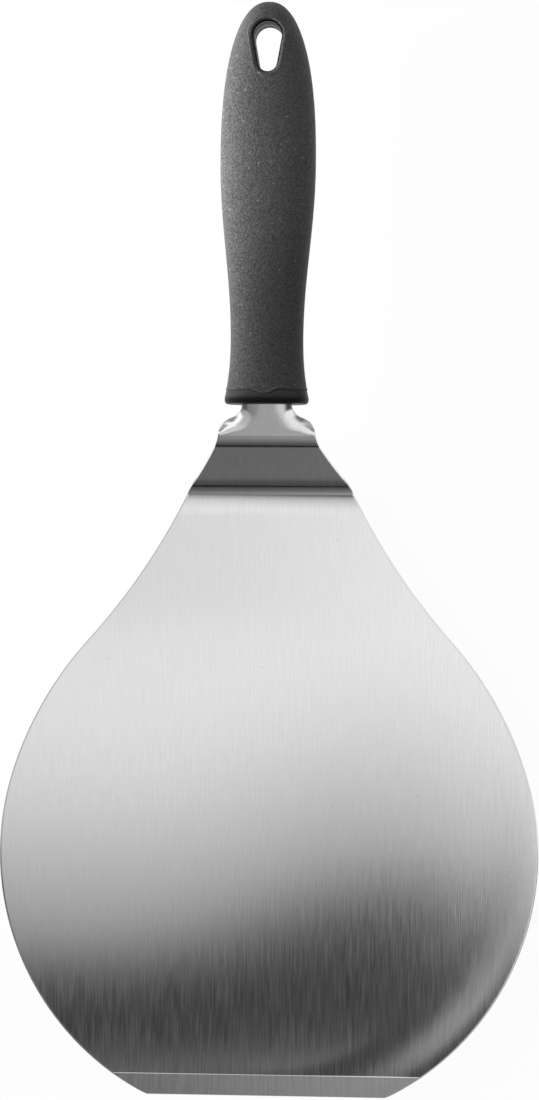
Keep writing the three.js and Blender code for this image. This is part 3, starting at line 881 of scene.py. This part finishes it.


# Rigid core: smoother and darker than the skin, with painted shade that darkens it along its front edge
def core_material():
    material, nodes = new_material("smooth_core_plastic")
    place = nodes.add("ShaderNodeTexCoord").outputs["Object"]
    grain = nodes.noise(place, 700.0, detail=2.0)
    along = nodes.add("ShaderNodeSeparateXYZ", {"Vector": place}).outputs["Y"]
    # Painted shade: the colour darkens along the rounded front edge, which faces away from the light
    edge = nodes.step(along, (mouth_y + 1.0) * MM, (mouth_y + 2.9) * MM, 0.2, 1.0)
    tone = nodes.product(nodes.sum(0.022, nodes.product(grain, 0.010)), edge)
    bump = nodes.add("ShaderNodeBump", {"Height": grain, "Strength": 0.05, "Distance": 0.0003})
    shader = nodes.add("ShaderNodeBsdfPrincipled", {
        "Base Color": grey(nodes, tone),
        "Roughness": nodes.sum(0.40, nodes.product(grain, 0.1)),
        "Specular IOR Level": 0.22,
        "Normal": bump.outputs[0],
    })
    nodes.add("ShaderNodeOutputMaterial", {"Surface": shader.outputs[0]})
    return material


# Pale floor: white to the camera and in the steel, with the object's shadow kept faint
def floor_material():
    material, nodes = new_material("pale_floor")
    path = nodes.add("ShaderNodeLightPath")
    seen = nodes.math("MAXIMUM", path.outputs["Is Camera Ray"], path.outputs["Is Glossy Ray"])
    seen = nodes.math("MAXIMUM", seen, path.outputs["Is Transmission Ray"])
    paper = nodes.add("ShaderNodeBsdfDiffuse", {"Color": (0.85, 0.85, 0.85, 1)})
    white = nodes.add("ShaderNodeEmission", {"Color": (1, 1, 1, 1), "Strength": 1.0})
    share = nodes.product(seen, 0.95)
    mixed = nodes.add("ShaderNodeMixShader", {0: share, 1: paper.outputs[0], 2: white.outputs[0]})
    nodes.add("ShaderNodeOutputMaterial", {"Surface": mixed.outputs[0]})
    return material


# Directions in degrees: back and side lean from straight up to the handle's side and to the right,
# heading turns away from the handle to either side, and height rises from the floor
def world_angles(nodes):
    way = nodes.add("ShaderNodeTexCoord").outputs["Generated"]
    parts = nodes.add("ShaderNodeSeparateXYZ", {"Vector": way}).outputs
    back = nodes.math("DEGREES", nodes.math("ARCTAN2", parts["Y"], parts["Z"]))
    side = nodes.math("DEGREES", nodes.math("ARCTAN2", parts["X"], parts["Z"]))
    heading = nodes.math("DEGREES", nodes.math("ARCTAN2", parts["X"], parts["Y"]))
    height = nodes.math("DEGREES", nodes.math("ARCSINE", parts["Z"]))
    return back, side, nodes.math("ABSOLUTE", heading), height


# Broad soft light overhead that ends above the blade's front half. Its front edge fades and is drawn
# back left of the middle, and some patches of it are weaker.
def ceiling_light(nodes, back, side):
    level = 0.89
    drawn = nodes.product(nodes.window(side, -6.6, -0.6, 0.0, 0.9), 1.72)
    edge = nodes.math("SUBTRACT", back, drawn)
    front_end = nodes.step(edge, -6.6, -4.85)
    fade = nodes.step(edge, -6.1, -0.9, 0.4, 1.0)
    back_end = nodes.step(back, 44.0, 58.0, 1.0, 0.15)
    width = nodes.window(side, -80.0, -50.0, 62.0, 80.0)
    back_left = nodes.rest(nodes.step(back, 0.5, 1.1), nodes.step(side, -5.0, -1.0, 1.0, 0.0), 0.12)
    left_corner = nodes.window(side, -24.0, -17.0, -11.5, -9.0)
    front_left = nodes.rest(left_corner, nodes.step(back, -6.0, -2.5, 1.0, 0.0), 0.7)
    right_patch = nodes.window(side, 1.6, 4.0, 8.0, 34.0)
    front_right = nodes.rest(right_patch, nodes.step(back, 5.0, 14.0, 1.0, 0.0), 0.35)
    left_wing = nodes.step(side, -16.0, -11.0, 0.55, 1.0)
    lean = nodes.product(nodes.step(side, -7.6, -4.5, 0.955, 1.0), nodes.step(side, -2.4, 0.5, 1.0, 1.1))
    whole = nodes.product(front_end, fade, back_end, width)
    return nodes.product(whole, back_left, front_left, front_right, left_wing, lean, level)


# Darker room in front, brighter to the right, with a dark strip and the dark gap before the ceiling
def front_light(nodes, back, side):
    low = nodes.step(back, -90.0, -55.0, 0.1, 0.205)
    high = nodes.step(back, -60.0, -6.0, 0.0, 0.148)
    tilt = nodes.step(side, -9.0, 3.0, 0.72, 1.2)
    glow = nodes.product(nodes.step(side, -6.0, 6.0, 0.0, 0.27), nodes.step(back, -16.5, -12.5))
    lit = nodes.sum(nodes.product(nodes.sum(low, high), tilt), glow)
    width = nodes.window(side, -60.0, -32.0, 26.0, 40.0)
    strip_depth = nodes.step(side, -6.5, -0.5, 0.5, 0.15)
    strip = nodes.rest(nodes.window(back, -27.0, -21.0, -16.0, -13.5), strip_depth)
    gap_right = nodes.step(side, 1.5, 6.0, 1.0, 0.0)
    gap_left = nodes.step(side, -12.0, -9.6, 0.55, 1.0)
    gap = nodes.rest(nodes.step(back, -9.2, -7.0), nodes.product(gap_right, gap_left), 0.98)
    end = nodes.step(back, 10.0, 20.0, 1.0, 0.0)
    return nodes.product(lit, width, gap, strip, end)


# Soft light low on the left, behind the blade
def left_light(nodes, back, side):
    level = 1.1
    start = nodes.step(back, 29.0, 36.0)
    end = nodes.step(nodes.sum(back, nodes.product(side, 0.45)), 33.0, 39.0, 1.0, 0.0)
    width = nodes.window(side, -82.0, -76.0, -22.0, -12.0)
    return nodes.product(start, end, width, level)


# Low walls of the room, which the steel shows from low down: four corners, and weaker sides
def room_light(nodes, heading, height):
    level = 0.28
    back_corners = nodes.window(heading, 15.0, 30.0, 58.0, 70.0)
    front_corners = nodes.window(heading, 112.0, 125.0, 148.0, 160.0)
    sides = nodes.product(nodes.window(heading, 60.0, 72.0, 108.0, 120.0), 0.5)
    walls = nodes.sum(back_corners, front_corners, sides)
    return nodes.product(walls, nodes.window(height, 1.0, 6.0, 24.0, 34.0), level)


# Studio that the steel mirrors; the camera itself sees plain white
def light_studio():
    world = bpy.data.worlds.new("studio")
    bpy.context.scene.world = world
    world.use_nodes = True
    nodes = Nodes(world.node_tree)
    back, side, heading, height = world_angles(nodes)
    overhead = nodes.math("MAXIMUM", ceiling_light(nodes, back, side), front_light(nodes, back, side))
    ambient = 0.02
    total = nodes.sum(ambient, overhead, left_light(nodes, back, side), room_light(nodes, heading, height))
    studio = nodes.add("ShaderNodeBackground", {"Color": grey(nodes, total), "Strength": 1.0})
    white = nodes.add("ShaderNodeBackground", {"Color": (1, 1, 1, 1), "Strength": 1.0})
    seen = nodes.add("ShaderNodeLightPath").outputs["Is Camera Ray"]
    mixed = nodes.add("ShaderNodeMixShader", {0: seen, 1: studio.outputs[0], 2: white.outputs[0]})
    nodes.add("ShaderNodeOutputWorld", {"Surface": mixed.outputs[0]})


def hang_lamp(name, kind, energy, place, target, **settings):
    light = bpy.data.lights.new(name, kind)
    light.energy = energy
    for key, value in settings.items():
        setattr(light, key, value)
    lamp = bpy.data.objects.new(name, light)
    facing = (place - target).to_track_quat("Z", "Y").to_matrix().to_4x4()
    lamp.matrix_world = Matrix.Translation(place) @ facing
    lamp.visible_camera = False
    lamp.visible_glossy = False
    bpy.context.collection.objects.link(lamp)


# Lamps for the matt handle: a long one low on the left, and a soft spot on the belly and the tip
def hang_lamps():
    low = {"shape": "RECTANGLE", "size": 0.34, "size_y": 0.03}
    hang_lamp("low_lamp", "AREA", 4.3, Vector((-0.36, 0.2, 0.053)), Vector((0.0, 0.2, 0.025)), **low)
    spot = {"spot_size": math.radians(30), "spot_blend": 1.0, "shadow_soft_size": 0.05}
    hang_lamp("tip_lamp", "SPOT", 7.4, Vector((-0.30, 0.27, 0.14)), Vector((0.0, 0.222, 0.03)), **spot)


# Floor that ends just in front of the blade, where the white world goes on
def lay_floor():
    reach = 4.0
    front = -0.083
    drop = 0.0004
    corners = ((-reach, front), (reach, front), (reach, reach), (-reach, reach))
    mesh = bpy.data.meshes.new("floor")
    mesh.from_pydata([(x, y, -drop) for x, y in corners], [], [(0, 1, 2, 3)])
    floor = bpy.data.objects.new("floor", mesh)
    bpy.context.collection.objects.link(floor)
    floor.data.materials.append(floor_material())


# Camera: above the blade, a little to the right and towards the front
def set_camera():
    aim = Vector((-0.00025, 0.101106, 0.0))
    distance = 1.0
    lean_right, lean_back, roll = math.radians(3.605), math.radians(-2.167), math.radians(-0.48)
    view_height = 0.368563
    away = Vector((
        math.sin(lean_right) * math.cos(lean_back),
        math.sin(lean_back),
        math.cos(lean_right) * math.cos(lean_back),
    ))
    up = Vector((math.sin(roll), math.cos(roll), 0))
    right = up.cross(away).normalized()
    turned = Matrix((right, away.cross(right), away)).transposed().to_4x4()
    lens = bpy.data.cameras.new("camera")
    lens.sensor_width = 36.0
    lens.lens = lens.sensor_width * distance / view_height
    lens.clip_start = 0.01
    camera = bpy.data.objects.new("camera", lens)
    camera.matrix_world = Matrix.Translation(aim + distance * away) @ turned
    bpy.context.collection.objects.link(camera)
    bpy.context.scene.camera = camera


set_camera()
bpy.context.scene.view_settings.view_transform = "Standard"
light_studio()
hang_lamps()
lay_floor()

dressed = (
    (build_blade(), "blade", "steel", steel_material()),
    (build_core(), "handle_core", "core", core_material()),
    (build_skin(), "grip_skin", "skin", skin_material()),
)
for piece, node, slot, material in dressed:
    piece.data.materials.clear()
    piece.data.materials.append(material)
    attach(piece, "root")
    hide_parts(node)
